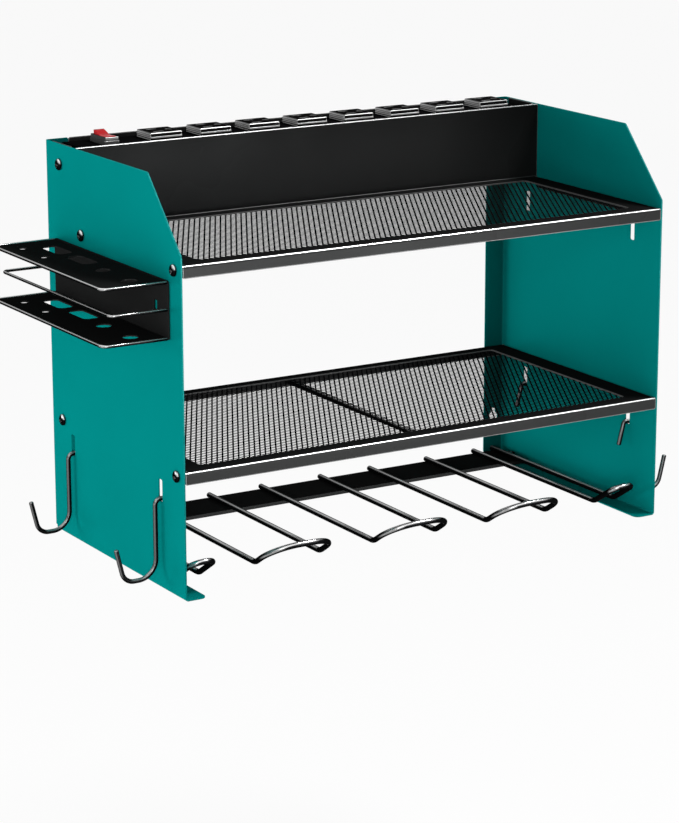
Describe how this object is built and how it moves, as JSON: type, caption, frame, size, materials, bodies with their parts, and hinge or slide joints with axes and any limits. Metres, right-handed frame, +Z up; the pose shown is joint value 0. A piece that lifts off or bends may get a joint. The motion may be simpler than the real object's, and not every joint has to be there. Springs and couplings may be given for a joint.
{
  "type": "wall mounted power tool organizer",
  "caption": "Wall organizer with mesh shelves between bent side panels, a rear power strip, wire drill loops below, swinging side hooks and a side rack.",
  "frame": {"origin": "on the wall plane, midway between the two wall keyholes in the rear wall of the power channel, 294 mm above the side panels' feet", "axes": "+X to the right as seen from the front, +Y into the wall, +Z up"},
  "size_m": [0.5243, 0.2206, 0.3197],
  "materials": {
    "teal_paint": "satin powder coat",
    "black_sheet": "satin powder coat",
    "black_net": "satin powder coat",
    "black_wire": "gloss",
    "strip_plastic": "fine matt",
    "outlet_plastic": "semi gloss",
    "red_plastic": "gloss",
    "contact_brass": "plain",
    "black_screw": "gloss"
  },
  "bodies": {
    "frame": {"side_panel_left": "teal_paint", "side_panel_right": "teal_paint", "upper_shelf": "black_sheet", "lower_shelf": "black_sheet", "upper_net": "black_net", "lower_net": "black_net", "lower_shelf_rod": "black_wire", "power_channel": "black_sheet", "strip_base": "strip_plastic", "strip_cover": "strip_plastic", "strip_cap_left": "strip_plastic", "strip_cap_right": "strip_plastic", "cord_inlet": "outlet_plastic", "bus_bar_line": "contact_brass", "bus_bar_earth": "contact_brass", "bus_bar_neutral": "contact_brass", "outlet_1": "outlet_plastic", "outlet_2": "outlet_plastic", "outlet_3": "outlet_plastic", "outlet_4": "outlet_plastic", "outlet_5": "outlet_plastic", "outlet_6": "outlet_plastic", "outlet_7": "outlet_plastic", "outlet_8": "outlet_plastic", "switch_block": "outlet_plastic", "drill_loop_1": "black_wire", "drill_loop_2": "black_wire", "drill_loop_3": "black_wire", "drill_loop_4": "black_wire", "drill_loop_5": "black_wire", "loop_bar": "black_sheet", "bar_screw_left": "black_screw", "bar_screw_right": "black_screw", "rack_back": "black_sheet", "rack_top": "black_sheet", "rack_bottom": "black_sheet", "rack_hoop_top": "black_wire", "rack_hoop_middle": "black_wire", "rack_hoop_bottom": "black_wire", "screw_lower_front_left": "black_screw", "screw_lower_rear_left": "black_screw", "screw_upper_front_left": "black_screw", "screw_upper_rear_left": "black_screw", "screw_channel_left": "black_screw", "screw_lower_front_right": "black_screw", "screw_lower_rear_right": "black_screw", "screw_upper_front_right": "black_screw", "screw_upper_rear_right": "black_screw", "screw_channel_right": "black_screw"},
    "rocker": {"rocker_switch": "red_plastic"},
    "left_front_hook": {"hook_left_front": "black_wire"},
    "left_rear_hook": {"hook_left_rear": "black_wire"},
    "right_front_hook": {"hook_right_front": "black_wire"},
    "right_rear_hook": {"hook_right_rear": "black_wire"}
  },
  "joints": [
    {"name": "rocker_tip", "type": "hinge", "parent": "frame", "child": "rocker", "pos_m": [-0.1842, -0.0245, 0.0195], "axis": [1, 0, 0], "range_deg": [-16, 0]},
    {"name": "hook_left_front_swing", "type": "hinge", "parent": "frame", "child": "left_front_hook", "pos_m": [-0.2144, -0.183, -0.226], "axis": [0, 1, 0], "range_deg": [-3, 18]},
    {"name": "hook_left_rear_swing", "type": "hinge", "parent": "frame", "child": "left_rear_hook", "pos_m": [-0.2144, -0.0366, -0.226], "axis": [0, 1, 0], "range_deg": [-3, 18]},
    {"name": "hook_right_front_swing", "type": "hinge", "parent": "frame", "child": "right_front_hook", "pos_m": [0.2144, -0.183, -0.226], "axis": [0, -1, 0], "range_deg": [-3, 18]},
    {"name": "hook_right_rear_swing", "type": "hinge", "parent": "frame", "child": "right_rear_hook", "pos_m": [0.2144, -0.0366, -0.226], "axis": [0, -1, 0], "range_deg": [-3, 18]}
  ]
}
